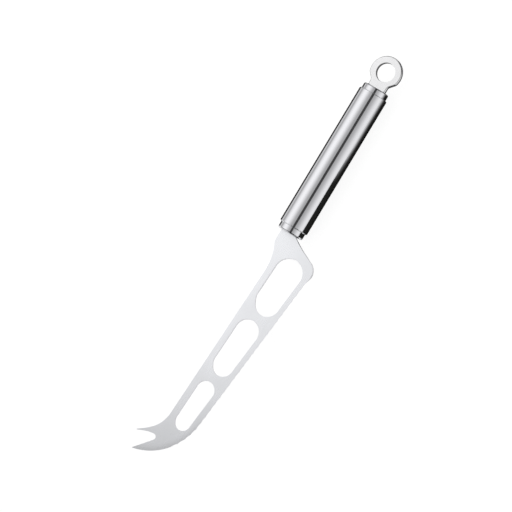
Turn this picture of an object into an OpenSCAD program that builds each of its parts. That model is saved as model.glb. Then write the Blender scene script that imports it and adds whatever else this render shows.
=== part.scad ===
// Cheese knife: a slotted blade with a forked tip and a wave-ground edge, on a round
// steel tube that two welded caps close, with a flat ring to hang it by.
// Lengths are in millimetres. The origin is the centre of the hanging hole. +X runs to
// the tip, +Y to the cutting edge, and +Z out of the plain face of the blade. The waves
// are ground into the other face.

/* [Handle tube] */
// Outer diameter of the tube
tube_d = 19.45; // [17:0.05:24]
// Wall of the tube
tube_wall = 1; // [0.8:0.05:1.5]
// Length of the tube between its two square ends
tube_l = 97.3; // [80:0.1:130]
// Rounding of the outer edge at both ends of the tube
tube_edge_r = 0.15; // [0.1:0.05:0.6]

/* [End caps] */
// Clearance between a cap and the bore of the tube, on each side
cap_fit = 0.05; // [0.02:0.01:0.15]
// Thickness of the end wall of a cap
cap_wall = 1.6; // [1.2:0.1:2.4]
// Thickness of the skirt of a cap inside the tube
cap_skirt_t = 1.2; // [0.8:0.1:2]
// Length of the skirt inside the tube
cap_skirt_l = 7; // [5:0.5:12]
// How far the front cap stands out of the tube
front_cap_out = 4.8; // [3:0.1:7]
// Rounding of the rim of the front cap
front_rim_r = 1.3; // [0.5:0.1:1.8]
// How far the rear cap stands out of the tube
rear_cap_out = 4.2; // [3:0.1:7]
// Rounding of the rim of the rear cap
rear_rim_r = 1; // [0.5:0.1:1.5]
// Clearance round a tongue in the slot of its cap, on each side
slot_fit = 0.05; // [0.02:0.01:0.15]

/* [Hanging ring] */
// Diameter of the hole
ring_hole_d = 12.6; // [10:0.1:16]
// Width of the band round the hole
ring_band = 4.5; // [3.5:0.1:6]
// Thickness of the ring plate
ring_t = 3; // [2:0.1:4]
// Distance from the centre of the hole to the rear cap
ring_stem_l = 11.7; // [10:0.1:14]
// Width of the stem that joins the ring to the cap
ring_stem_w = 12.9; // [10:0.1:14]
// Where the straight shoulder leaves the round, measured from the centre towards the cap
ring_shoulder_x = 4; // [2:0.1:5]
// Slope of the shoulder against the axis of the handle, in degrees
ring_shoulder_angle = 43; // [35:1:55]
// Radius of the hollow between the shoulder and the stem
ring_fillet_r = 2; // [1:0.1:3]
// Width of the tongue that goes through the rear cap
ring_tongue_w = 10; // [7:0.1:10]
// How far the tongue reaches into the cap behind the end wall
ring_tongue_l = 4; // [3:0.1:7]

/* [Blade] */
// Thickness of the blade at the handle
blade_t = 2; // [1.6:0.1:2.6]
// Thickness of the blade at the fork, where the faces have drawn together
fork_t = 1.3; // [1:0.1:1.6]
// Height of the line of the spine over the axis of the handle, at the front cap
spine_rise = 0.07; // [0:0.01:1]
// Slope of the spine against the axis of the handle, in degrees
spine_angle = 2.78; // [2:0.01:3.5]
// Height of the line of the edge over the axis of the handle, at the front cap
edge_rise = 29.55; // [26:0.05:34]
// Slope of the edge against the axis of the handle, in degrees
edge_angle = 6.36; // [5:0.01:7]
// Width of the tang that goes through the front cap
tang_w = 9; // [6:0.1:10]
// How far the tang reaches into the cap behind the end wall
tang_l = 4.4; // [3:0.1:7]

/* [Neck and heel] */
// Depth of the neck below the axis of the handle
neck_low = 6; // [5.1:0.1:6.2]
// Height of the neck above the axis of the handle
neck_high = 5.2; // [5.1:0.1:6.2]
// Length of the straight stretch under the neck
neck_l = 8.7; // [6:0.1:12]
// Slope of the neck where it turns up to the spine, in degrees
neck_spine_angle = 31; // [20:1:40]
// Distance from the cap to the point where the spine runs straight
spine_start = 30; // [24:0.1:40]
// Slope of the neck at the cap on the side of the edge, in degrees
neck_angle = 54; // [50:0.5:62]
// Slope of the back of the heel, in degrees
heel_angle = 66; // [62:0.5:75]
// Distance from the cap to the corner of the heel, before it is rounded
heel_x = 11.5; // [10:0.1:14]
// Height of that corner over the line of the edge
heel_proud = 0.17; // [0.1:0.01:0.4]
// Rounding of the heel
heel_r = 8.2; // [5:0.1:8.5]

/* [Slots] */
// Distance from the front cap to the first slot
slot_start = 12.5; // [11:0.1:18]
// Length of the first slot
slot_1_l = 40.5; // [32:0.1:50]
// Metal between the first slot and the second
bridge_1 = 5.8; // [4:0.1:9]
// Length of the second slot
slot_2_l = 40.6; // [32:0.1:50]
// Metal between the second slot and the third
bridge_2 = 6.3; // [4:0.1:9]
// Length of the third slot
slot_3_l = 35.7; // [28:0.1:44]
// Width of metal between the slots and the spine
spine_land = 4.35; // [3:0.05:5]
// Width of metal between the slots and the line of the edge
edge_land = 4.1; // [3.5:0.05:5.2]
// What the second slot keeps clear beyond the width on the side of the edge
slot_2_edge_extra = 0.2; // [0.1:0.05:1]
// What the third slot keeps clear beyond the width on the side of the edge
slot_3_edge_extra = 0.75; // [0.1:0.05:1.5]
// What the third slot keeps clear beyond the width on the side of the spine
slot_3_spine_extra = 0.5; // [0.1:0.05:1]
// How much smaller the far round of the first slot is, which cuts its corner on the side of the spine
slot_1_corner = 0.65; // [0.1:0.05:1.5]
// The same for the second slot
slot_2_corner = 0.35; // [0.1:0.05:1.5]
// The same for the third slot
slot_3_corner = 0.3; // [0.1:0.05:1.5]
// Turn of the cut corner against the side of the slot, in degrees
slot_corner_angle = 31; // [20:1:45]

/* [Belly and fork] */
// Radius of the belly, from the straight edge round to the long prong
belly_r = 39.8; // [34:0.1:46]
// How far back from the end of the third slot the belly starts
belly_lead = 9.3; // [6:0.1:14]
// Direction of the long tip from the centre of the belly, in degrees
tip_angle = 12; // [6:0.5:14]
// Rounding of the two tips
tip_r = 0.3; // [0.2:0.05:0.6]
// How far back from the end of the third slot the spine starts to drop
spine_lead = 6.6; // [5:0.1:12]
// How far the short tip stays behind the long one
short_tip_back = 11.3; // [9:0.1:15]
// How far the short tip lies below the long one
short_tip_drop = 3.9; // [1:0.1:5]
// Slope of the back of the short prong at its tip, in degrees
short_back_angle = 54; // [48:1:58]
// Slope of the inner side of the short prong at its tip, in degrees
short_inner_angle = 66; // [60:1:75]
// How far the centre of the round of the notch stays behind the long tip
notch_back = 12.45; // [11:0.05:15]
// Height of that centre over the long tip
notch_rise = 8; // [7:0.05:10]
// Radius of the round of the notch
notch_r = 1.95; // [1.4:0.05:2.4]

/* [Wave grind] */
// Distance from one wave of the edge to the next
wave_pitch = 5; // [3.5:0.1:7]
// Depth of a wave, seen from above
wave_depth = 0.33; // [0.2:0.01:0.45]
// Distance from the corner of the heel to the first wave, along the handle
wave_start = 9.8; // [8:0.1:14]
// How far round the belly the waves go, in degrees
wave_turn = 37; // [25:1:50]
// Slope of the ground face against the flat of the blade, in degrees
bevel_angle = 40; // [32:1:50]
// What the grind takes off the blank round the belly
grind_stock = 0.1; // [0.05:0.01:0.2]

/* [Welds] */
// Height of the bead between the tube and a cap
seam_bead = 0.4; // [0.2:0.05:0.5]
// Leg of the bead between a cap and the tongue inside it
inner_bead = 1.4; // [0.8:0.1:2]

/* [Quality] */
// Facets of a full turn
$fn = 96; // [32:8:180]

/* [Hidden] */

// How far a cut runs past what it cuts
over = blade_t / 2;
// Steps of a curve and of an arc
curve_steps = 14;
arc_steps = 12;
belly_steps = 36;
round_steps = 90;
// Length of the arms of the curves, as shares of the distance that each curve spans
neck_spine_share = 0.37;
neck_edge_share = 0.33;
fork_back_shares = [0.47, 0.29];
fork_inner_shares = [0.33, 0.33];
// How far the straight sides of a slot lie from its middle, as a share of its rounds
slot_side_share = 0.995;
// Part of the last wave that the plain grind starts back in
grind_lap_share = 0.4;
// How far the plain grind runs on past the long tip, in degrees
grind_past_angle = 9;

// Places along the handle
rear_face_x = ring_stem_l;
tube_x = rear_face_x + rear_cap_out;
tube_end_x = tube_x + tube_l;
front_face_x = tube_end_x + front_cap_out;
tube_bore_r = tube_d / 2 - tube_wall;
cap_r = tube_bore_r - cap_fit;
ring_r = ring_hole_d / 2 + ring_band;

// Places along the blade, from the front cap
slot_1_end = slot_start + slot_1_l;
slot_2_start = slot_1_end + bridge_1;
slot_2_end = slot_2_start + slot_2_l;
slot_3_start = slot_2_end + bridge_2;
slot_3_end = slot_3_start + slot_3_l;
belly_x = slot_3_end - belly_lead;
spine_end = slot_3_end - spine_lead;
wave_x = heel_x + wave_start;

function along(angle) = [cos(angle), sin(angle)];
function spine_at(x) = [x, spine_rise - x * tan(spine_angle)];
function edge_at(x) = [x, edge_rise - x * tan(edge_angle)];

// Belly: a round that the straight edge runs into
belly_centre = edge_at(belly_x) - belly_r * along(90 - edge_angle);
long_tip = belly_centre + (belly_r - tip_r) * along(tip_angle);
short_tip = long_tip - [short_tip_back, short_tip_drop];
notch_centre = long_tip + [-notch_back, notch_rise];

// Half the thickness of the blade, which draws in between the first slot and the belly
function half_t(x) =
    x < slot_start ? blade_t / 2 :
    x > belly_x ? fork_t / 2 :
    (blade_t + (fork_t - blade_t) * (x - slot_start) / (belly_x - slot_start)) / 2;

// Points of a curve between two ends, with an arm at each end
function curve(start, arm_1, arm_2, end) = [
    for (i = [0:curve_steps])
        let (t = i / curve_steps, u = 1 - t)
            u * u * u * start + 3 * u * u * t * arm_1 + 3 * u * t * t * arm_2 + t * t * t * end
];

// Points of an arc from one direction to another
function arc(centre, r, from, to, steps = arc_steps) = [
    for (i = [0:steps]) centre + r * along(from + (to - from) * i / steps)
];

// Curve that leaves one point in a direction and reaches another in a direction
function swing(start, leave, end, reach, shares) =
    let (span = norm(end - start))
        curve(
            start,
            start + shares[0] * span * along(leave),
            end - shares[1] * span * along(reach),
            end
        );

// Heel of the blank: a rounded corner between the neck and the line of the edge
heel_corner = edge_at(heel_x) + [0, heel_proud];
blank_belly = belly_centre + (belly_r + grind_stock) * along(90 - edge_angle);
blank_line = blank_belly - heel_corner;
blank_angle = atan2(blank_line[1], blank_line[0]);
heel_tangent = heel_r * tan((heel_angle - blank_angle) / 2);
heel_foot = heel_corner - heel_tangent * along(heel_angle);
heel_centre = heel_foot + heel_r * along(heel_angle - 90);

// The inner line of the long prong touches the round of its tip and the round of the notch
prong_line = notch_centre - long_tip;
prong_turn = acos((tip_r + notch_r) / norm(prong_line));
prong_normal = atan2(prong_line[1], prong_line[0]) + prong_turn;

// Outline of the blade before it is ground, from the tang round the spine to the heel
neck_under = [
    [-cap_wall - tang_l, tang_w / 2],
    [-cap_wall - tang_l, -tang_w / 2],
    [0, -tang_w / 2],
    [0, -neck_low],
];
neck_spine = swing(
    [neck_l, -neck_low], neck_spine_angle,
    spine_at(spine_start), -spine_angle,
    [neck_spine_share, neck_spine_share]
);
fork_back = swing(
    spine_at(spine_end), -spine_angle,
    short_tip - tip_r * along(90 - short_back_angle), -short_back_angle,
    fork_back_shares
);
short_round = arc(short_tip, tip_r, -90 - short_back_angle, 90 - short_inner_angle);
fork_inner = swing(
    short_tip + tip_r * along(90 - short_inner_angle), 180 - short_inner_angle,
    notch_centre - [notch_r, 0], 90,
    fork_inner_shares
);
notch_round = arc(notch_centre, notch_r, 180, prong_normal - 180);
long_round = arc(long_tip, tip_r, prong_normal - 360, tip_angle);
belly = arc(belly_centre, belly_r + grind_stock, tip_angle, 90 - edge_angle, belly_steps);
heel_round = arc(heel_centre, heel_r, 90 + blank_angle, 90 + heel_angle);
neck_edge = swing(
    heel_foot, heel_angle - 180,
    [0, neck_high], neck_angle - 180,
    [neck_edge_share, neck_edge_share]
);
blade_outline = concat(
    neck_under, neck_spine, fork_back, short_round, fork_inner, notch_round,
    long_round, belly, heel_round, neck_edge, [[0, tang_w / 2]]
);

// A slot is the space between two rounds that touch the lines of its lands. The lines
// meet far beyond the tip, and the rounds lie on the line between them. A third, smaller
// round ends the slot. It touches the line of the edge alone, so that the corner on the
// side of the spine is cut. The straight sides run a hair inside the lines, so that they
// meet the rounds at clear corners.
module slot(start, end, spine_side, edge_side, corner) {
    half_angle = (edge_angle - spine_angle) / 2;
    middle_angle = (edge_angle + spine_angle) / 2;
    low_y = spine_rise + spine_side / cos(spine_angle);
    high_y = edge_rise - edge_side / cos(edge_angle);
    meet_x = (high_y - low_y) / (tan(edge_angle) - tan(spine_angle));
    meet = [meet_x, low_y - meet_x * tan(spine_angle)];
    first_d = (meet_x - start) / cos(middle_angle) / (1 + sin(half_angle));
    last_d = ((meet_x - end) / cos(middle_angle) - corner) / (1 - sin(half_angle));
    shoulder_d = last_d + corner / tan(slot_corner_angle / 2);
    aside = corner / cos(half_angle) * along(90 - middle_angle);
    first = meet - first_d * along(-middle_angle);
    shoulder = meet - shoulder_d * along(-middle_angle);
    last = meet - last_d * along(-middle_angle) + aside;
    first_r = first_d * sin(half_angle);
    shoulder_r = shoulder_d * sin(half_angle);
    last_r = last_d * sin(half_angle) - corner;
    cut = last - shoulder;
    cut_angle = atan2(cut[1], cut[0]) + asin((shoulder_r - last_r) / norm(cut));
    translate(first) circle(r = first_r);
    translate(shoulder) circle(r = shoulder_r);
    translate(last) circle(r = last_r);
    polygon([
        first + slot_side_share * first_r * along(90 - edge_angle),
        last + slot_side_share * last_r * along(90 - edge_angle),
        last + slot_side_share * last_r * along(cut_angle - 90),
        shoulder + slot_side_share * shoulder_r * along(cut_angle - 90),
        shoulder + slot_side_share * shoulder_r * along(-90 - spine_angle),
        first + slot_side_share * first_r * along(-90 - spine_angle),
    ]);
}

// Plate of the blade, seen from above
module blade_plan() {
    difference() {
        polygon(blade_outline);
        slot(slot_start, slot_1_end, spine_land, edge_land, slot_1_corner);
        slot(
            slot_2_start, slot_2_end,
            spine_land, edge_land + slot_2_edge_extra,
            slot_2_corner
        );
        slot(
            slot_3_start, slot_3_end,
            spine_land + slot_3_spine_extra, edge_land + slot_3_edge_extra,
            slot_3_corner
        );
    }
}

// Side of the blade: its faces draw together towards the fork
module blade_side() {
    ends = [-cap_wall - tang_l - over, slot_start, belly_x, long_tip[0] + tip_r + over];
    polygon(concat(
        [for (x = ends) [x, half_t(x)]],
        [for (i = [len(ends) - 1:-1:0]) [ends[i], -half_t(ends[i])]]
    ));
}

// Line of the edge by the length along it: straight first, then round the belly
wave_straight_l = (belly_x - wave_x) / cos(edge_angle);
wave_l = wave_straight_l + belly_r * wave_turn * PI / 180;
wave_count = floor(wave_l / wave_pitch);
function belly_direction(l) = 90 - edge_angle - (l - wave_straight_l) / belly_r * 180 / PI;
function edge_point(l) =
    l < wave_straight_l
        ? edge_at(wave_x) + l * along(-edge_angle)
        : belly_centre + belly_r * along(belly_direction(l));

// One wave: a wheel lies along the slope of the grind and hollows the edge between two
// crests. The cuts are drawn for a grind on the upper face and turned over in the blade.
wave_r = wave_pitch * wave_pitch / (8 * wave_depth * sin(bevel_angle));
wave_wheel_w = 2 * (blade_t + over) / sin(bevel_angle);
module wave_cut(from, to) {
    middle = (from + to) / 2;
    chord = to - from;
    translate([middle[0], middle[1], -half_t(middle[0])])
        rotate([0, 0, atan2(chord[1], chord[0])])
            translate([0, -wave_depth, 0])
                rotate([90 - bevel_angle, 0, 0])
                    translate([0, wave_r, 0])
                        cylinder(r = wave_r, h = wave_wheel_w, center = true);
}

// Plain grind from the last wave round to the long tip
module belly_cut() {
    first = belly_direction((wave_count - grind_lap_share) * wave_pitch);
    last = tip_angle - grind_past_angle;
    low = -fork_t / 2 - over;
    high = fork_t / 2 + over;
    outer_r = belly_r + over / tan(bevel_angle);
    translate([belly_centre[0], belly_centre[1], 0])
        rotate([0, 0, last])
            rotate_extrude(angle = first - last)
                polygon([
                    [outer_r, low],
                    [outer_r + over, low],
                    [outer_r + over, high],
                    [belly_r - (fork_t + over) / tan(bevel_angle), high],
                ]);
}

module blade() {
    color("gainsboro")
        translate([front_face_x, 0, 0])
            difference() {
                intersection() {
                    linear_extrude(height = blade_t, center = true)
                        blade_plan();
                    rotate([90, 0, 0])
                        linear_extrude(height = 2 * (edge_rise + heel_proud), center = true)
                            blade_side();
                }
                mirror([0, 0, 1]) {
                    for (i = [0:wave_count - 1]) {
                        wave_cut(edge_point(i * wave_pitch), edge_point((i + 1) * wave_pitch));
                    }
                    belly_cut();
                }
            }
}

// Corner to take off a square edge so that a rounding of radius r is left. It lies in
// the quarter from the centre of the rounding towards +X and -Y.
module rounding_off(centre, r) {
    translate(centre)
        difference() {
            translate([0, -r - over]) square([r + over, r + over]);
            circle(r = r);
        }
}

module handle_tube() {
    color("silver")
        translate([tube_x, 0, 0])
            rotate([0, 90, 0])
                rotate_extrude()
                    difference() {
                        translate([tube_bore_r, 0]) square([tube_wall, tube_l]);
                        rounding_off([tube_d / 2 - tube_edge_r, tube_edge_r], tube_edge_r);
                        translate([0, tube_l])
                            mirror([0, 1])
                                rounding_off([tube_d / 2 - tube_edge_r, tube_edge_r], tube_edge_r);
                    }
}

// Cup that closes an end of the tube, with its end wall at the origin and its skirt
// towards +Z. The slot takes a tongue of the given width along Y and thickness along X.
module end_cap(out, rim_r, tongue_w, tongue_t) {
    difference() {
        rotate_extrude()
            difference() {
                square([cap_r, out + cap_skirt_l]);
                translate([0, cap_wall]) square([cap_r - cap_skirt_t, out + cap_skirt_l]);
                rounding_off([cap_r - rim_r, rim_r], rim_r);
            }
        translate([0, 0, cap_wall / 2])
            cube([tongue_t + 2 * slot_fit, tongue_w + 2 * slot_fit, cap_wall + over], center = true);
    }
}

module front_cap() {
    color("silver")
        translate([front_face_x, 0, 0])
            rotate([0, -90, 0])
                end_cap(front_cap_out, front_rim_r, tang_w, blade_t);
}

module rear_cap() {
    color("silver")
        translate([rear_face_x, 0, 0])
            rotate([0, 90, 0])
                end_cap(rear_cap_out, rear_rim_r, ring_tongue_w, ring_t);
}

// Half outline of the ring plate on the side of +Y, from the far side of the hole to the
// end of the tongue: round band, straight shoulder, hollow, stem, tongue
shoulder_start = [ring_shoulder_x, sqrt(ring_r * ring_r - ring_shoulder_x * ring_shoulder_x)];
shoulder_l = (shoulder_start[1] - ring_stem_w / 2) / sin(ring_shoulder_angle);
shoulder_end = shoulder_start + shoulder_l * along(-ring_shoulder_angle);
hollow_x = shoulder_end[0] + ring_fillet_r * tan(ring_shoulder_angle / 2);
ring_half = concat(
    arc([0, 0], ring_r, 180, atan2(shoulder_start[1], shoulder_start[0]), round_steps),
    arc(
        [hollow_x, ring_stem_w / 2 + ring_fillet_r], ring_fillet_r,
        -90 - ring_shoulder_angle, -90
    ),
    [
        [ring_stem_l, ring_stem_w / 2],
        [ring_stem_l, ring_tongue_w / 2],
        [ring_stem_l + cap_wall + ring_tongue_l, ring_tongue_w / 2],
    ]
);

module hanging_ring() {
    color("whitesmoke")
        difference() {
            linear_extrude(height = ring_t, center = true)
                polygon(concat(
                    ring_half,
                    [for (i = [len(ring_half) - 1:-1:1]) [ring_half[i][0], -ring_half[i][1]]]
                ));
            cylinder(d = ring_hole_d, h = ring_t + 2 * over, center = true);
        }
}

// Turns a shape drawn towards +X and +Z to the given sides
module turned_to(x_side, z_side) {
    mirror([x_side < 0 ? 1 : 0, 0, 0])
        mirror([0, 0, z_side < 0 ? 1 : 0])
            children();
}

// Beads along both faces of a tongue, inside its cap. The end wall is at x and the cap
// opens towards the given side, +1 or -1.
module inner_welds(x, side, tongue_w, tongue_t) {
    for (face = [-1, 1]) {
        translate([x, 0, face * tongue_t / 2])
            turned_to(side, face)
                rotate([90, 0, 0])
                    linear_extrude(height = tongue_w, center = true)
                        polygon([[0, 0], [inner_bead, 0], [0, inner_bead]]);
    }
}

module tang_weld() {
    color("darkgray")
        inner_welds(front_face_x - cap_wall, -1, tang_w, blade_t);
}

module ring_weld() {
    color("darkgray")
        inner_welds(rear_face_x + cap_wall, 1, ring_tongue_w, ring_t);
}

// Bead in the corner between the end of the tube and the side of a cap, towards +Z
module seam_bead() {
    rotate_extrude()
        translate([cap_r, 0])
            intersection() {
                circle(r = seam_bead + cap_fit);
                square(seam_bead + cap_fit);
            }
}

module front_seam_weld() {
    color("darkgray")
        translate([tube_end_x, 0, 0])
            rotate([0, 90, 0])
                seam_bead();
}

module rear_seam_weld() {
    color("darkgray")
        translate([tube_x, 0, 0])
            rotate([0, -90, 0])
                seam_bead();
}

blade();
handle_tube();
front_cap();
rear_cap();
hanging_ring();
tang_weld();
ring_weld();
front_seam_weld();
rear_seam_weld();
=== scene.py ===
"""Steel cheese knife in a light tent: a slotted, wave-ground blade on a polished tube handle with a
hanging ring. Lengths are in metres, in the frame of the CAD part: the origin is the centre of the
hanging hole, +X runs to the tip, +Y to the cutting edge and +Z out of the plain face of the blade."""

import math

import bpy
from bpy.props import FloatProperty, FloatVectorProperty, PointerProperty
from mathutils import Matrix, Vector


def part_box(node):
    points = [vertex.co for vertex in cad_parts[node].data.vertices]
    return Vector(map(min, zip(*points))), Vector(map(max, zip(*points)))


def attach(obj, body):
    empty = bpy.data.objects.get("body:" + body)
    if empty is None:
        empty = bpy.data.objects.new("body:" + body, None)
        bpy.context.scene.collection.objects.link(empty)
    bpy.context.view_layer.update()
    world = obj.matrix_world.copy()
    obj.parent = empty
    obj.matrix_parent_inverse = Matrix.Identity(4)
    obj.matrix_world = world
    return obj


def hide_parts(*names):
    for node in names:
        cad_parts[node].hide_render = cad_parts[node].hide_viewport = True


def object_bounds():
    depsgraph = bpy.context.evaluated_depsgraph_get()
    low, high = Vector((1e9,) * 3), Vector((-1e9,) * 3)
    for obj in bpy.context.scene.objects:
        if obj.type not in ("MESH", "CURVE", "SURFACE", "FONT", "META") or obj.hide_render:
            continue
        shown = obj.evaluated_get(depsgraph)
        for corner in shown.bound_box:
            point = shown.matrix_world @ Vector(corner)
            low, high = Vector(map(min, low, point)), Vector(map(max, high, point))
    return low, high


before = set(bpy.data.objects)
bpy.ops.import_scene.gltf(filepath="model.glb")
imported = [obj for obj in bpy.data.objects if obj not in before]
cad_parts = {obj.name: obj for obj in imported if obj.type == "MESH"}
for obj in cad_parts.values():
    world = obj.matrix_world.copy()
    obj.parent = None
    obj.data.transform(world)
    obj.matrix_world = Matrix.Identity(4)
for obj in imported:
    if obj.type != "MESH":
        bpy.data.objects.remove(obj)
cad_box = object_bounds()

bl_info = {
    "name": "Cheese Knife",
    "version": (1, 0, 0),
    "blender": (4, 5, 0),
    "location": "View3D > Sidebar > Knife",
    "description": "Finishes a steel cheese knife and sets it up in a light tent",
    "category": "Object",
}

MM = 0.001
BODY = "root"
FLOOR_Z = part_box("handle_tube")[0].z
# Radius round the hanging hole that parts the rims of the hole from those of the outline
HOLE_RIM_R = 7.3 * MM
# Centre and radius of the curved belly of the blade
BELLY_CENTRE = (245.69 * MM, -24.73 * MM, 0)
BELLY_R = 39.8 * MM
# Length of the long tip that stays unbroken, because a bevel there would reach past its point
SHARP_TIP = 1.5 * MM
# Upright share of a normal from which a face of the blade is flat, or ground where it points down
FLAT_FACE = 0.9
GROUND_WAVE = -0.55
# Upright share from which an edge is a corner between two walls
UPRIGHT_CORNER = 0.9


def linear(hex_colour):
    """sRGB hex to linear RGBA"""
    shares = [int(hex_colour[i:i + 2], 16) / 255 for i in (1, 3, 5)]
    return [s / 12.92 if s <= 0.04045 else ((s + 0.055) / 1.055) ** 2.4 for s in shares] + [1.0]


class KnifeSteel(bpy.types.PropertyGroup):
    """Colours and finishes of the steels"""

    blade_colour: FloatVectorProperty(
        name="Blade", description="Satin-ground steel of the blade and of the brushed seams",
        subtype="COLOR", size=4, min=0, max=1, default=linear("#E9EAED"))
    ground_colour: FloatVectorProperty(
        name="Ground edge", description="Freshly ground steel of the waves", subtype="COLOR",
        size=4, min=0, max=1, default=linear("#DDDEE1"))
    wall_colour: FloatVectorProperty(
        name="Stamped walls", description="Cut walls of the slots and of the outline",
        subtype="COLOR", size=4, min=0, max=1, default=linear("#DCDCDE"))
    handle_colour: FloatVectorProperty(
        name="Handle", description="Polished tube steel", subtype="COLOR", size=4,
        min=0, max=1, default=linear("#D5D5D8"))
    ring_colour: FloatVectorProperty(
        name="Ring", description="Tumbled plate steel", subtype="COLOR", size=4,
        min=0, max=1, default=linear("#E1E1E2"))
    weld_colour: FloatVectorProperty(
        name="Weld", description="Raw weld metal", subtype="COLOR", size=4,
        min=0, max=1, default=linear("#8F8C88"))
    grain_width: FloatProperty(
        name="Grain width", description="Width of one streak of the satin grain",
        subtype="DISTANCE", unit="LENGTH", min=0.00005, max=0.002, default=0.35 * MM)
    grain_length: FloatProperty(
        name="Grain length", description="Length of one streak of the satin grain",
        subtype="DISTANCE", unit="LENGTH", min=0.001, max=0.05, default=14 * MM)


class KnifeEdges(bpy.types.PropertyGroup):
    """How far the stamped edges are broken"""

    blade_break: FloatProperty(
        name="Blade edges", description="Width of the broken edges of the blade",
        subtype="DISTANCE", unit="LENGTH", min=0.00002, max=0.0003, default=0.12 * MM)
    ring_round: FloatProperty(
        name="Ring rim", description="Radius of the rounded outer rim of the ring",
        subtype="DISTANCE", unit="LENGTH", min=0.0001, max=0.0014, default=0.8 * MM)
    hole_break: FloatProperty(
        name="Hole edges", description="Width of the broken edges of the hanging hole",
        subtype="DISTANCE", unit="LENGTH", min=0.00005, max=0.0008, default=0.2 * MM)


class KnifeStudio(bpy.types.PropertyGroup):
    """Camera and light tent"""

    target: FloatVectorProperty(
        name="Target", description="Point in the middle of the picture", subtype="TRANSLATION",
        unit="LENGTH", size=3, default=(140.9 * MM, -11.8 * MM, 0.0))
    tilt: FloatProperty(
        name="Tilt", description="Lean of the camera from upright, towards the cutting edge",
        subtype="ANGLE", unit="ROTATION", default=math.radians(22))
    roll: FloatProperty(
        name="Roll", description="Turn of the handle from upright in the picture",
        subtype="ANGLE", unit="ROTATION", default=math.radians(31))
    pixel: FloatProperty(
        name="Pixel", description="What one of the 512 pixels covers at the target",
        subtype="DISTANCE", unit="LENGTH", default=0.63 * MM)
    lens: FloatProperty(
        name="Lens", description="Focal length of the camera", subtype="DISTANCE_CAMERA",
        unit="CAMERA", min=50, max=1000, default=300)
    tent_radius: FloatProperty(
        name="Tent radius", description="Radius of the light tent", subtype="DISTANCE",
        unit="LENGTH", min=0.2, max=2, default=0.45)
    tent_level: FloatProperty(
        name="Tent level", description="Strength of the lit cloth of the tent", min=0, max=4,
        default=1.12)


def add_node(tree, kind, links=(), **settings):
    """Adds a node, sets its settings and fills its inputs with values or with other sockets"""
    node = tree.nodes.new(kind)
    for name, value in settings.items():
        setattr(node, name, value)
    for socket, value in dict(links).items():
        if isinstance(value, bpy.types.NodeSocket):
            tree.links.new(value, node.inputs[socket])
        else:
            node.inputs[socket].default_value = value
    return node


def new_material(name):
    """Empty node material with its output"""
    material = bpy.data.materials.new(name)
    material.use_nodes = True
    tree = material.node_tree
    tree.nodes.clear()
    return material, tree, add_node(tree, "ShaderNodeOutputMaterial")


def profile(tree, value, stops):
    """Level of a value, read between stops of place and level"""
    low, high = stops[0][0], stops[-1][0]
    scaled = add_node(tree, "ShaderNodeMapRange", {"Value": value, "From Min": low, "From Max": high})
    ramp = add_node(tree, "ShaderNodeValToRGB", {0: scaled.outputs["Result"]})
    elements = ramp.color_ramp.elements
    for place, _ in stops[1:-1]:
        elements.new((place - low) / (high - low))
    for element, (_, level) in zip(elements, stops):
        element.color = (level, level, level, 1)
    return ramp.outputs["Color"]


def close_surface(tree, output, shader):
    """Links a shader to the output"""
    tree.links.new(shader, output.inputs["Surface"])


def close_steel(tree, output, colour, roughness, bump):
    """Links bare metal of a colour, a roughness and a bump to the output"""
    shader = add_node(tree, "ShaderNodeBsdfPrincipled", {
        "Base Color": colour, "Metallic": 1.0, "Roughness": roughness,
        "Normal": bump.outputs["Normal"]})
    close_surface(tree, output, shader.outputs[0])


# Painted shade along the belly: share of the colour by the distance from its centre, darker in a band
# inside the rim
BELLY_PAINTED_SHADE = (
    (BELLY_R - 4.4 * MM, 1.0), (BELLY_R - 3.4 * MM, 0.98), (BELLY_R - 2.6 * MM, 0.95),
    (BELLY_R - 2.0 * MM, 0.925), (BELLY_R - 1.5 * MM, 0.875), (BELLY_R - 0.7 * MM, 0.87),
    (BELLY_R, 0.93),
)


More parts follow.
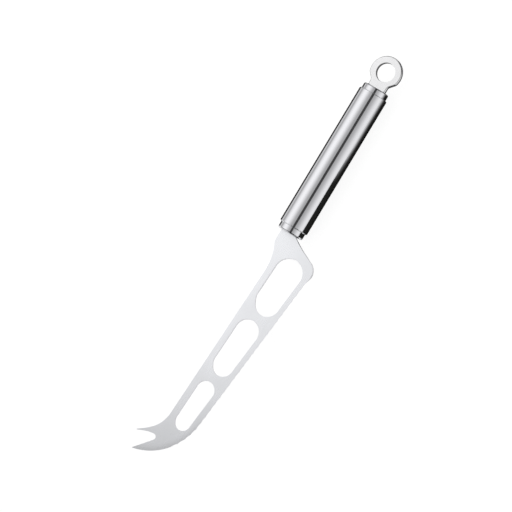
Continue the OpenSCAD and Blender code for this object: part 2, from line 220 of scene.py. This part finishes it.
def satin_blade_steel(steel):
    """Satin-ground martensitic cutlery steel: soft broad reflections under fine lengthwise streaks"""
    material, tree, output = new_material("satin_blade_steel")
    place = add_node(tree, "ShaderNodeTexCoord")
    # streaks of the grinding belt, drawn wider than the real 0.05 mm so that they show
    lines = add_node(tree, "ShaderNodeMapping", {
        "Vector": place.outputs["Object"],
        "Scale": (1 / steel.grain_length, 1 / steel.grain_width, 1 / steel.grain_width)})
    grain = add_node(tree, "ShaderNodeTexNoise", {
        "Vector": lines.outputs["Vector"], "Scale": 1.0, "Detail": 3.0, "Roughness": 0.6})
    # patches about 20 mm across where the belt pressed more or less
    cloud = add_node(tree, "ShaderNodeTexNoise", {
        "Vector": place.outputs["Object"], "Scale": 1 / (20 * MM), "Detail": 2.0})
    mixed = add_node(tree, "ShaderNodeMath", {
        0: grain.outputs["Fac"], 1: cloud.outputs["Fac"]}, operation="ADD")
    rough = add_node(tree, "ShaderNodeMapRange", {
        "Value": mixed.outputs[0], "From Min": 0.6, "From Max": 1.4, "To Min": 0.24, "To Max": 0.34})
    tone = add_node(tree, "ShaderNodeMapRange", {
        "Value": grain.outputs["Fac"], "From Min": 0.3, "From Max": 0.7, "To Min": 0.98, "To Max": 1.0})
    colour = add_node(tree, "ShaderNodeMix", {
        "Factor": 1.0, 6: steel.blade_colour, 7: tone.outputs["Result"]},
        data_type="RGBA", blend_type="MULTIPLY")
    # painted shade: a darker band along the belly, standing in for the darker reflection that a slight
    # ground bevel would give there
    reach = add_node(tree, "ShaderNodeVectorMath", {
        0: place.outputs["Object"], 1: BELLY_CENTRE}, operation="DISTANCE")
    belly_shade = profile(tree, reach.outputs["Value"], BELLY_PAINTED_SHADE)
    axes = add_node(tree, "ShaderNodeSeparateXYZ", {0: place.outputs["Object"]})
    shade_onset = add_node(tree, "ShaderNodeMapRange", {
        "Value": axes.outputs[0], "From Min": BELLY_CENTRE[0], "From Max": BELLY_CENTRE[0] + 8 * MM})
    # the painted shade is multiplied into the blade colour from the start of the belly on
    shaded_colour = add_node(tree, "ShaderNodeMix", {
        "Factor": shade_onset.outputs["Result"], 6: colour.outputs[2], 7: belly_shade},
        data_type="RGBA", blend_type="MULTIPLY")
    bump = add_node(tree, "ShaderNodeBump", {
        "Height": grain.outputs["Fac"], "Strength": 0.35, "Distance": 0.004 * MM})
    close_steel(tree, output, shaded_colour.outputs[2], rough.outputs["Result"], bump)
    return material


def ground_edge_steel(steel):
    """Wheel-ground steel of the waves: sharper than the satin, with lines across the edge"""
    material, tree, output = new_material("ground_edge_steel")
    place = add_node(tree, "ShaderNodeTexCoord")
    # wheel marks 0.3 mm apart that run down the slope
    lines = add_node(tree, "ShaderNodeMapping", {
        "Vector": place.outputs["Object"],
        "Scale": (1 / (0.3 * MM), 1 / (6 * MM), 1 / (6 * MM))})
    marks = add_node(tree, "ShaderNodeTexNoise", {
        "Vector": lines.outputs["Vector"], "Scale": 1.0, "Detail": 2.0})
    rough = add_node(tree, "ShaderNodeMapRange", {
        "Value": marks.outputs["Fac"], "From Min": 0.3, "From Max": 0.7, "To Min": 0.16, "To Max": 0.28})
    bump = add_node(tree, "ShaderNodeBump", {
        "Height": marks.outputs["Fac"], "Strength": 0.4, "Distance": 0.004 * MM})
    close_steel(tree, output, steel.ground_colour, rough.outputs["Result"], bump)
    return material


def stamped_wall_steel(steel):
    """Sheared walls of the stamping: duller and darker, with lines from face to face"""
    material, tree, output = new_material("stamped_wall_steel")
    place = add_node(tree, "ShaderNodeTexCoord")
    # shear lines 0.4 mm apart that run through the sheet
    lines = add_node(tree, "ShaderNodeMapping", {
        "Vector": place.outputs["Object"],
        "Scale": (1 / (0.4 * MM), 1 / (0.4 * MM), 1 / (8 * MM))})
    shear = add_node(tree, "ShaderNodeTexNoise", {
        "Vector": lines.outputs["Vector"], "Scale": 1.0, "Detail": 3.0})
    rough = add_node(tree, "ShaderNodeMapRange", {
        "Value": shear.outputs["Fac"], "From Min": 0.3, "From Max": 0.7, "To Min": 0.22, "To Max": 0.4})
    bump = add_node(tree, "ShaderNodeBump", {
        "Height": shear.outputs["Fac"], "Strength": 0.5, "Distance": 0.01 * MM})
    close_steel(tree, output, steel.wall_colour, rough.outputs["Result"], bump)
    return material


def polished_tube_steel(steel):
    """Mirror-polished austenitic steel: crisp reflections, softened by wiping marks and hairlines"""
    material, tree, output = new_material("polished_tube_steel")
    place = add_node(tree, "ShaderNodeTexCoord")
    # wiping marks about 12 mm across
    smear = add_node(tree, "ShaderNodeTexNoise", {
        "Vector": place.outputs["Object"], "Scale": 1 / (12 * MM), "Detail": 3.0, "Roughness": 0.55})
    # hairlines round the tube, about 0.4 mm apart
    lines = add_node(tree, "ShaderNodeMapping", {
        "Vector": place.outputs["Object"],
        "Scale": (1 / (0.4 * MM), 1 / (9 * MM), 1 / (9 * MM))})
    hair = add_node(tree, "ShaderNodeTexNoise", {
        "Vector": lines.outputs["Vector"], "Scale": 1.0, "Detail": 2.0})
    mixed = add_node(tree, "ShaderNodeMath", {
        0: smear.outputs["Fac"], 1: hair.outputs["Fac"]}, operation="ADD")
    rough = add_node(tree, "ShaderNodeMapRange", {
        "Value": mixed.outputs[0], "From Min": 0.7, "From Max": 1.3, "To Min": 0.05, "To Max": 0.1})
    bump = add_node(tree, "ShaderNodeBump", {
        "Height": hair.outputs["Fac"], "Strength": 0.15, "Distance": 0.001 * MM})
    close_steel(tree, output, steel.handle_colour, rough.outputs["Result"], bump)
    return material


def tumbled_plate_steel(steel):
    """Tumbled and polished plate: bright, with a slightly uneven face"""
    material, tree, output = new_material("tumbled_plate_steel")
    place = add_node(tree, "ShaderNodeTexCoord")
    # shallow unevenness left by the tumbling, 3 mm across
    dents = add_node(tree, "ShaderNodeTexNoise", {
        "Vector": place.outputs["Object"], "Scale": 1 / (3 * MM), "Detail": 3.0})
    rough = add_node(tree, "ShaderNodeMapRange", {
        "Value": dents.outputs["Fac"], "From Min": 0.3, "From Max": 0.7, "To Min": 0.14, "To Max": 0.22})
    bump = add_node(tree, "ShaderNodeBump", {
        "Height": dents.outputs["Fac"], "Strength": 0.4, "Distance": 0.01 * MM})
    close_steel(tree, output, steel.ring_colour, rough.outputs["Result"], bump)
    return material


def raw_weld_steel(steel):
    """Raw weld metal: dull and rippled, with a straw heat tint"""
    material, tree, output = new_material("raw_weld_steel")
    place = add_node(tree, "ShaderNodeTexCoord")
    # ripples of the bead, 0.8 mm apart
    ripple = add_node(tree, "ShaderNodeTexNoise", {
        "Vector": place.outputs["Object"], "Scale": 1 / (0.8 * MM), "Detail": 2.0})
    tint = add_node(tree, "ShaderNodeMix", {
        "Factor": ripple.outputs["Fac"], 6: steel.weld_colour, 7: linear("#A38F6E")},
        data_type="RGBA")
    bump = add_node(tree, "ShaderNodeBump", {
        "Height": ripple.outputs["Fac"], "Strength": 0.8, "Distance": 0.1 * MM})
    close_steel(tree, output, tint.outputs[2], 0.45, bump)
    return material


def buffed_seam_steel(steel):
    """Finely brushed weld seam: softer than the polish, so that it blends the tube into the cap"""
    material, tree, output = new_material("buffed_seam_steel")
    place = add_node(tree, "ShaderNodeTexCoord")
    # traces of the buffing wheel, 0.6 mm apart
    buff = add_node(tree, "ShaderNodeTexNoise", {
        "Vector": place.outputs["Object"], "Scale": 1 / (0.6 * MM), "Detail": 2.0})
    rough = add_node(tree, "ShaderNodeMapRange", {
        "Value": buff.outputs["Fac"], "From Min": 0.3, "From Max": 0.7, "To Min": 0.2, "To Max": 0.3})
    shader = add_node(tree, "ShaderNodeBsdfPrincipled", {
        "Base Color": steel.blade_colour, "Metallic": 1.0, "Roughness": rough.outputs["Result"]})
    close_surface(tree, output, shader.outputs[0])
    return material


def only_active(piece):
    """Makes a piece the only selected object"""
    bpy.ops.object.select_all(action="DESELECT")
    bpy.context.view_layer.objects.active = piece
    piece.select_set(True)


def merged_copy(node, name):
    """New piece from a copy of a CAD node, with its loose triangles joined and flat areas made whole"""
    piece = bpy.data.objects.new(name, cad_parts[node].data.copy())
    piece.data.name = name
    bpy.context.scene.collection.objects.link(piece)
    only_active(piece)
    bpy.ops.mesh.customdata_custom_splitnormals_clear()
    bpy.ops.object.mode_set(mode="EDIT")
    bpy.ops.mesh.select_all(action="SELECT")
    bpy.ops.mesh.remove_doubles(threshold=0.002 * MM)
    bpy.ops.mesh.dissolve_limited(angle_limit=math.radians(0.05))
    bpy.ops.object.mode_set(mode="OBJECT")
    return piece


def break_rims(piece, width, segments, chosen=lambda middle: True):
    """Rounds the rims of a stamped piece, where its faces meet its walls, at the chosen places"""
    only_active(piece)
    bpy.ops.object.mode_set(mode="EDIT")
    bpy.ops.mesh.select_mode(type="EDGE")
    bpy.ops.mesh.select_all(action="DESELECT")
    bpy.ops.mesh.edges_select_sharp(sharpness=math.radians(35))
    bpy.ops.object.mode_set(mode="OBJECT")
    # the upright corners between two walls stay as stamped
    for edge in piece.data.edges:
        start, end = (piece.data.vertices[corner].co for corner in edge.vertices)
        upright = abs(end.z - start.z) > UPRIGHT_CORNER * (end - start).length
        if upright or not chosen((start + end) / 2):
            edge.select = False
    bpy.ops.object.mode_set(mode="EDIT")
    bpy.ops.mesh.bevel(offset=width, segments=segments, clamp_overlap=False)
    bpy.ops.object.mode_set(mode="OBJECT")


def shade_plate(piece):
    """Shades a plate smooth, with its flat faces kept flat up to their rims"""
    only_active(piece)
    bpy.ops.object.shade_smooth_by_angle(angle=math.radians(30))
    weights = piece.modifiers.new("flat faces first", "WEIGHTED_NORMAL")
    weights.keep_sharp = True
    bpy.ops.object.modifier_apply(modifier=weights.name)


def dress(piece, *materials):
    """Gives a piece its materials"""
    piece.data.materials.clear()
    for material in materials:
        piece.data.materials.append(material)


class KNIFE_OT_blade(bpy.types.Operator):
    """Blade with broken edges, satin faces, stamped walls and ground waves"""

    bl_idname = "knife.blade"
    bl_label = "Blade"

    def execute(self, context):
        steel, edges = context.scene.knife_steel, context.scene.knife_edges
        piece = merged_copy("blade", "blade_dressed")
        break_rims(piece, edges.blade_break, 2, lambda middle: middle.x < cad_box[1].x - SHARP_TIP)
        shade_plate(piece)
        dress(piece, satin_blade_steel(steel), stamped_wall_steel(steel), ground_edge_steel(steel))
        for face in piece.data.polygons:
            upright = face.normal.z
            face.material_index = 0 if abs(upright) > FLAT_FACE else 2 if upright < GROUND_WAVE else 1
        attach(piece, BODY)
        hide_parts("blade")
        return {"FINISHED"}


class KNIFE_OT_hanging_ring(bpy.types.Operator):
    """Hanging ring with a rounded outer rim and broken edges round its hole"""

    bl_idname = "knife.hanging_ring"
    bl_label = "Hanging ring"

    def execute(self, context):
        steel, edges = context.scene.knife_steel, context.scene.knife_edges
        piece = merged_copy("hanging_ring", "hanging_ring_dressed")
        break_rims(piece, edges.hole_break, 2, lambda middle: middle.xy.length < HOLE_RIM_R)
        break_rims(piece, edges.ring_round, 5, lambda middle: middle.xy.length > HOLE_RIM_R)
        shade_plate(piece)
        dress(piece, tumbled_plate_steel(steel))
        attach(piece, BODY)
        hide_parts("hanging_ring")
        return {"FINISHED"}


class KNIFE_OT_handle(bpy.types.Operator):
    """Polish on the tube and on its two caps"""

    bl_idname = "knife.handle"
    bl_label = "Handle"

    def execute(self, context):
        polish = polished_tube_steel(context.scene.knife_steel)
        for node in ("handle_tube", "front_cap", "rear_cap"):
            dress(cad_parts[node], polish)
        return {"FINISHED"}


class KNIFE_OT_welds(bpy.types.Operator):
    """Finish of the hidden beads and of the buffed seams"""

    bl_idname = "knife.welds"
    bl_label = "Welds"

    def execute(self, context):
        steel = context.scene.knife_steel
        raw, buffed = raw_weld_steel(steel), buffed_seam_steel(steel)
        for node in ("tang_weld", "ring_weld"):
            dress(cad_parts[node], raw)
        for node in ("front_seam_weld", "rear_seam_weld"):
            dress(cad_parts[node], buffed)
        return {"FINISHED"}


def camera_axes(studio):
    """Right, up and back of the camera, from its tilt and roll"""
    back = Vector((0, math.sin(studio.tilt), math.cos(studio.tilt)))
    along, across = Vector((-1, 0, 0)), Vector((0, math.cos(studio.tilt), -math.sin(studio.tilt)))
    right = math.sin(studio.roll) * along + math.cos(studio.roll) * across
    up = math.cos(studio.roll) * along - math.sin(studio.roll) * across
    return right, up, back


def place_camera(studio):
    """Long-lens camera at the angle of the picture"""
    camera = bpy.data.cameras.new("camera")
    camera.lens = studio.lens
    camera.sensor_width = 36
    distance = 512 * studio.pixel * studio.lens / camera.sensor_width
    camera.clip_start, camera.clip_end = distance / 10, distance * 10
    holder = bpy.data.objects.new("camera", camera)
    bpy.context.scene.collection.objects.link(holder)
    right, up, back = camera_axes(studio)
    turned = Matrix((right, up, back)).transposed().to_4x4()
    holder.matrix_world = Matrix.Translation(Vector(studio.target) + distance * back) @ turned
    bpy.context.scene.camera = holder


def shown_to(tree):
    """1 for camera, glossy and transmission rays, otherwise 0"""
    path = add_node(tree, "ShaderNodeLightPath")
    direct = add_node(tree, "ShaderNodeMath", {
        0: path.outputs["Is Camera Ray"], 1: path.outputs["Is Glossy Ray"]}, operation="MAXIMUM")
    return add_node(tree, "ShaderNodeMath", {
        0: direct.outputs[0], 1: path.outputs["Is Transmission Ray"]}, operation="MAXIMUM").outputs[0]


def white_world():
    """White surroundings for what is seen, dim ones for what is lit"""
    world = bpy.data.worlds.new("white_world")
    bpy.context.scene.world = world
    world.use_nodes = True
    tree = world.node_tree
    tree.nodes.clear()
    strength = add_node(tree, "ShaderNodeMapRange", {
        "Value": shown_to(tree), "To Min": 0.5, "To Max": 1.0})
    background = add_node(tree, "ShaderNodeBackground", {
        "Color": (1, 1, 1, 1), "Strength": strength.outputs["Result"]})
    output = add_node(tree, "ShaderNodeOutputWorld")
    tree.links.new(background.outputs[0], output.inputs["Surface"])


def pale_floor_paint():
    """Matt white board. What is seen of it is nearly white by itself and keeps a light shadow."""
    material, tree, output = new_material("pale_floor_paint")
    board = add_node(tree, "ShaderNodeBsdfDiffuse", {"Color": linear("#E6E6E6")})
    shade = add_node(tree, "ShaderNodeBsdfDiffuse", {"Color": linear("#959595")})
    glow = add_node(tree, "ShaderNodeEmission", {"Color": (1, 1, 1, 1), "Strength": 0.89})
    seen = add_node(tree, "ShaderNodeAddShader", {0: shade.outputs[0], 1: glow.outputs[0]})
    mix = add_node(tree, "ShaderNodeMixShader", {
        0: shown_to(tree), 1: board.outputs[0], 2: seen.outputs[0]})
    close_surface(tree, output, mix.outputs[0])
    return material


# Side of the square floor, its middle along the knife and the gap that it leaves under the tube
FLOOR_SIDE = 12
FLOOR_MIDDLE = 0.14
FLOOR_GAP = 0.05 * MM


def lay_floor():
    """Floor under the handle"""
    bpy.ops.object.select_all(action="DESELECT")
    bpy.ops.mesh.primitive_plane_add(size=FLOOR_SIDE, location=(FLOOR_MIDDLE, 0, FLOOR_Z - FLOOR_GAP))
    floor = bpy.context.object
    floor.name = "floor"
    dress(floor, pale_floor_paint())


# Brightness of the cloth by the angle from the camera, in degrees towards the cutting edge.
# The dark strip is the slot that the camera looks through.
CLOTH = (
    (-115, 0.62), (-109, 0.56), (-103, 0.47), (-97, 0.58), (-91, 0.77), (-82, 1.02), (-72, 1.17),
    (-62, 1.22), (-54, 1.18), (-46, 1.06), (-38, 0.88), (-30, 0.68), (-22, 0.54), (-15, 0.50),
    (-10.2, 0.48), (-9.4, 0.065), (7.6, 0.065), (8.4, 0.48), (15, 0.52), (22, 0.56), (30, 0.67),
    (38, 0.79), (46, 0.92), (54, 1.0), (62, 1.06), (72, 1.02),
)
# A colour ramp holds levels up to 1, so those of the cloth are stored as shares of this level
CLOTH_TOP = 1.3
# Share of that brightness along the handle, in metres from the hanging hole
CLOTH_ENDS = (
    (-0.55, 0.0), (-0.34, 0.1), (-0.24, 0.6), (-0.16, 1.0), (0.11, 0.98), (0.16, 1.0), (0.20, 0.96),
    (0.24, 0.955), (0.275, 0.75), (0.32, 0.55), (0.38, 0.24), (0.55, 0.03), (0.80, 0.0),
)
# Light of the far corners of the tent on the side of the spine, along the handle and across it
FAR_ALONG = (
    (-0.55, 0.45), (-0.42, 0.35), (-0.30, 0.0), (0.44, 0.0), (0.56, 0.5), (0.66, 0.8), (0.80, 0.85),
)
FAR_ACROSS = ((-0.45, 1.0), (-0.25, 1.0), (-0.08, 0.0))
# Brightness of the two end cloths, in metres towards the cutting edge
END_CLOTH = ((-0.45, 0.85), (-0.16, 0.8), (-0.07, 0.55), (0.0, 0.25), (0.06, 0.08), (0.45, 0.05))


def tent_end_cloth():
    """Cloth of the ends of the tent: dark towards the cutting edge, lit towards the spine"""
    material, tree, output = new_material("tent_end_cloth")
    place = add_node(tree, "ShaderNodeTexCoord")
    axes = add_node(tree, "ShaderNodeSeparateXYZ", {0: place.outputs["Object"]})
    level = profile(tree, axes.outputs[1], END_CLOTH)
    light = add_node(tree, "ShaderNodeEmission", {"Strength": level})
    close_surface(tree, output, light.outputs[0])
    return material


def tent_cloth(studio):
    """Lit cloth of the tent: dark where the camera looks through, brightest at the sides"""
    material, tree, output = new_material("tent_cloth")
    place = add_node(tree, "ShaderNodeTexCoord")
    axes = add_node(tree, "ShaderNodeSeparateXYZ", {0: place.outputs["Object"]})
    angle = add_node(tree, "ShaderNodeMath", {0: axes.outputs[1], 1: axes.outputs[2]}, operation="ARCTAN2")
    around = profile(tree, angle.outputs[0], [
        (math.radians(degrees) + studio.tilt, level / CLOTH_TOP) for degrees, level in CLOTH])
    along = profile(tree, axes.outputs[0], CLOTH_ENDS)
    both = add_node(tree, "ShaderNodeMath", {0: around, 1: along}, operation="MULTIPLY")
    lit = add_node(tree, "ShaderNodeMath", {
        0: both.outputs[0], 1: CLOTH_TOP * studio.tent_level}, operation="MULTIPLY")
    corners = add_node(tree, "ShaderNodeMath", {
        0: profile(tree, axes.outputs[0], FAR_ALONG),
        1: profile(tree, axes.outputs[1], FAR_ACROSS)}, operation="MULTIPLY")
    strength = add_node(tree, "ShaderNodeMath", {
        0: lit.outputs[0], 1: corners.outputs[0]}, operation="ADD")
    light = add_node(tree, "ShaderNodeEmission", {"Strength": strength.outputs[0]})
    close_surface(tree, output, light.outputs[0])
    return material


def hide_from_camera(card, *rays):
    """Takes a card out of the camera's sight and out of the named kinds of rays"""
    for ray in ("camera",) + rays:
        setattr(card, "visible_" + ray, False)


def raise_tent(studio):
    """Half-round tent over the knife, closed by two ends. The camera doesn't see it."""
    length = CLOTH_ENDS[-1][0] - CLOTH_ENDS[0][0]
    middle = (CLOTH_ENDS[-1][0] + CLOTH_ENDS[0][0]) / 2
    bpy.ops.object.select_all(action="DESELECT")
    bpy.ops.mesh.primitive_cylinder_add(
        vertices=192, radius=studio.tent_radius, depth=length, end_fill_type="NGON",
        location=(middle, 0, 0), rotation=(0, math.pi / 2, 0))
    tent = bpy.context.object
    tent.name = "light_tent"
    bpy.ops.object.transform_apply(location=True, rotation=True, scale=True)
    bpy.ops.object.mode_set(mode="EDIT")
    bpy.ops.mesh.select_all(action="SELECT")
    bpy.ops.mesh.bisect(plane_co=(0, 0, FLOOR_Z), plane_no=(0, 0, 1), clear_inner=True)
    bpy.ops.object.mode_set(mode="OBJECT")
    dress(tent, tent_cloth(studio), tent_end_cloth())
    for face in tent.data.polygons:
        face.material_index = 1 if abs(face.normal.x) > 0.5 else 0
    hide_from_camera(tent)


# Length, width and middle of the table top
TABLE_SIZE = (0.9, 0.42, 1)
TABLE_MIDDLE = (0.12, -0.09, FLOOR_Z)
# Darkness of the table top seen in the steel, by the distance towards the cutting edge in metres:
# first on the side of the spine, then towards the edge at the rear and at the front of the handle
TABLE_SPINE_SIDE = ((-0.30, 0.20), (-0.10, 0.25), (-0.06, 0.55), (-0.045, 1.0))
TABLE_REAR = ((0.0, 1.0), (0.021, 1.0), (0.0265, 0.915), (0.038, 0.68), (0.066, 0.26), (0.09, 0.0))
TABLE_FRONT = ((0.0, 1.0), (0.077, 1.0), (0.082, 0.0))
# Where along the handle the front profile takes over from the rear one
TABLE_CHANGE = (0.048, 0.076)
# Share of that darkness along the handle: less of it under the ring, none under the blade
TABLE_ALONG = ((-0.33, 0.86), (0.009, 0.86), (0.0105, 1.0), (0.118, 1.0), (0.122, 0.0), (0.57, 0.0))
# A dark strip under the middle of the blade, along the handle and across it
STRIP_ALONG = ((0.127, 0.0), (0.13, 1.0), (0.2, 1.0), (0.23, 0.0))
STRIP_ACROSS = ((0.0125, 0.0), (0.0145, 1.0), (0.0255, 1.0), (0.0275, 0.0))


def dark_table_top():
    """Dark table under the knife that only reflections show, with soft edges"""
    material, tree, output = new_material("dark_table_top")
    place = add_node(tree, "ShaderNodeTexCoord")
    axes = add_node(tree, "ShaderNodeSeparateXYZ", {0: place.outputs["Object"]})
    rear = profile(tree, axes.outputs[1], TABLE_SPINE_SIDE + TABLE_REAR)
    front = profile(tree, axes.outputs[1], TABLE_SPINE_SIDE + TABLE_FRONT)
    halfway = add_node(tree, "ShaderNodeMapRange", {
        "Value": axes.outputs[0], "From Min": TABLE_CHANGE[0], "From Max": TABLE_CHANGE[1]})
    side = add_node(tree, "ShaderNodeMix", {
        "Factor": halfway.outputs["Result"], 2: rear, 3: front}, data_type="FLOAT")
    # away from the blade the table reaches further towards the tip
    wider = add_node(tree, "ShaderNodeMapRange", {
        "Value": axes.outputs[1], "From Min": 0.033, "From Max": 0.038, "To Max": 0.05})
    place_along = add_node(tree, "ShaderNodeMath", {
        0: axes.outputs[0], 1: wider.outputs["Result"]}, operation="SUBTRACT")
    along = profile(tree, place_along.outputs[0], TABLE_ALONG)
    handle = add_node(tree, "ShaderNodeMath", {0: side.outputs[0], 1: along}, operation="MULTIPLY")
    # the strip shows in the rim of the front cap
    strip = add_node(tree, "ShaderNodeMath", {
        0: profile(tree, axes.outputs[0], STRIP_ALONG),
        1: profile(tree, axes.outputs[1], STRIP_ACROSS)}, operation="MULTIPLY")
    share = add_node(tree, "ShaderNodeMath", {
        0: handle.outputs[0], 1: strip.outputs[0]}, operation="MAXIMUM")
    black = add_node(tree, "ShaderNodeBsdfDiffuse", {"Color": linear("#383836")})
    clear = add_node(tree, "ShaderNodeBsdfTransparent")
    mix = add_node(tree, "ShaderNodeMixShader", {
        0: share.outputs[0], 1: clear.outputs[0], 2: black.outputs[0]})
    close_surface(tree, output, mix.outputs[0])
    return material


def lay_table_top():
    """Dark table top, just above the floor"""
    bpy.ops.object.select_all(action="DESELECT")
    bpy.ops.mesh.primitive_plane_add(size=1, location=(0, 0, 0))
    top = bpy.context.object
    top.name = "table_top"
    bpy.ops.object.mode_set(mode="EDIT")
    bpy.ops.mesh.select_all(action="SELECT")
    bpy.ops.transform.resize(value=TABLE_SIZE)
    bpy.ops.transform.translate(value=TABLE_MIDDLE)
    bpy.ops.object.mode_set(mode="OBJECT")
    dress(top, dark_table_top())
    hide_from_camera(top, "diffuse", "shadow", "transmission")


class KNIFE_OT_studio(bpy.types.Operator):
    """Camera, pale floor, white surroundings, light tent and dark table top"""

    bl_idname = "knife.studio"
    bl_label = "Studio"

    def execute(self, context):
        studio = context.scene.knife_studio
        context.scene.view_settings.view_transform = "Standard"
        place_camera(studio)
        white_world()
        lay_floor()
        raise_tent(studio)
        lay_table_top()
        return {"FINISHED"}


class KNIFE_PT_sidebar(bpy.types.Panel):
    """Sizes, colours and steps of the knife"""

    bl_idname = "KNIFE_PT_sidebar"
    bl_label = "Cheese knife"
    bl_space_type = "VIEW_3D"
    bl_region_type = "UI"
    bl_category = "Knife"

    def draw(self, context):
        scene = context.scene
        for group in (scene.knife_steel, scene.knife_edges, scene.knife_studio):
            box = self.layout.box()
            for name in group.__annotations__:
                box.prop(group, name)
        for step in STEPS:
            self.layout.operator(step.bl_idname)


STEPS = (KNIFE_OT_blade, KNIFE_OT_hanging_ring, KNIFE_OT_handle, KNIFE_OT_welds, KNIFE_OT_studio)
GROUPS = {"knife_steel": KnifeSteel, "knife_edges": KnifeEdges, "knife_studio": KnifeStudio}


def register():
    """Registers the settings, the steps and the panel"""
    for item in (*GROUPS.values(), *STEPS, KNIFE_PT_sidebar):
        bpy.utils.register_class(item)
    for name, group in GROUPS.items():
        setattr(bpy.types.Scene, name, PointerProperty(type=group))


def unregister():
    """Takes back what register added"""
    for name in GROUPS:
        delattr(bpy.types.Scene, name)
    for item in (KNIFE_PT_sidebar, *reversed(STEPS), *GROUPS.values()):
        bpy.utils.unregister_class(item)


def main():
    """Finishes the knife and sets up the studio"""
    register()
    bpy.ops.knife.blade()
    bpy.ops.knife.hanging_ring()
    bpy.ops.knife.handle()
    bpy.ops.knife.welds()
    bpy.ops.knife.studio()


if __name__ == "__main__":
    main()
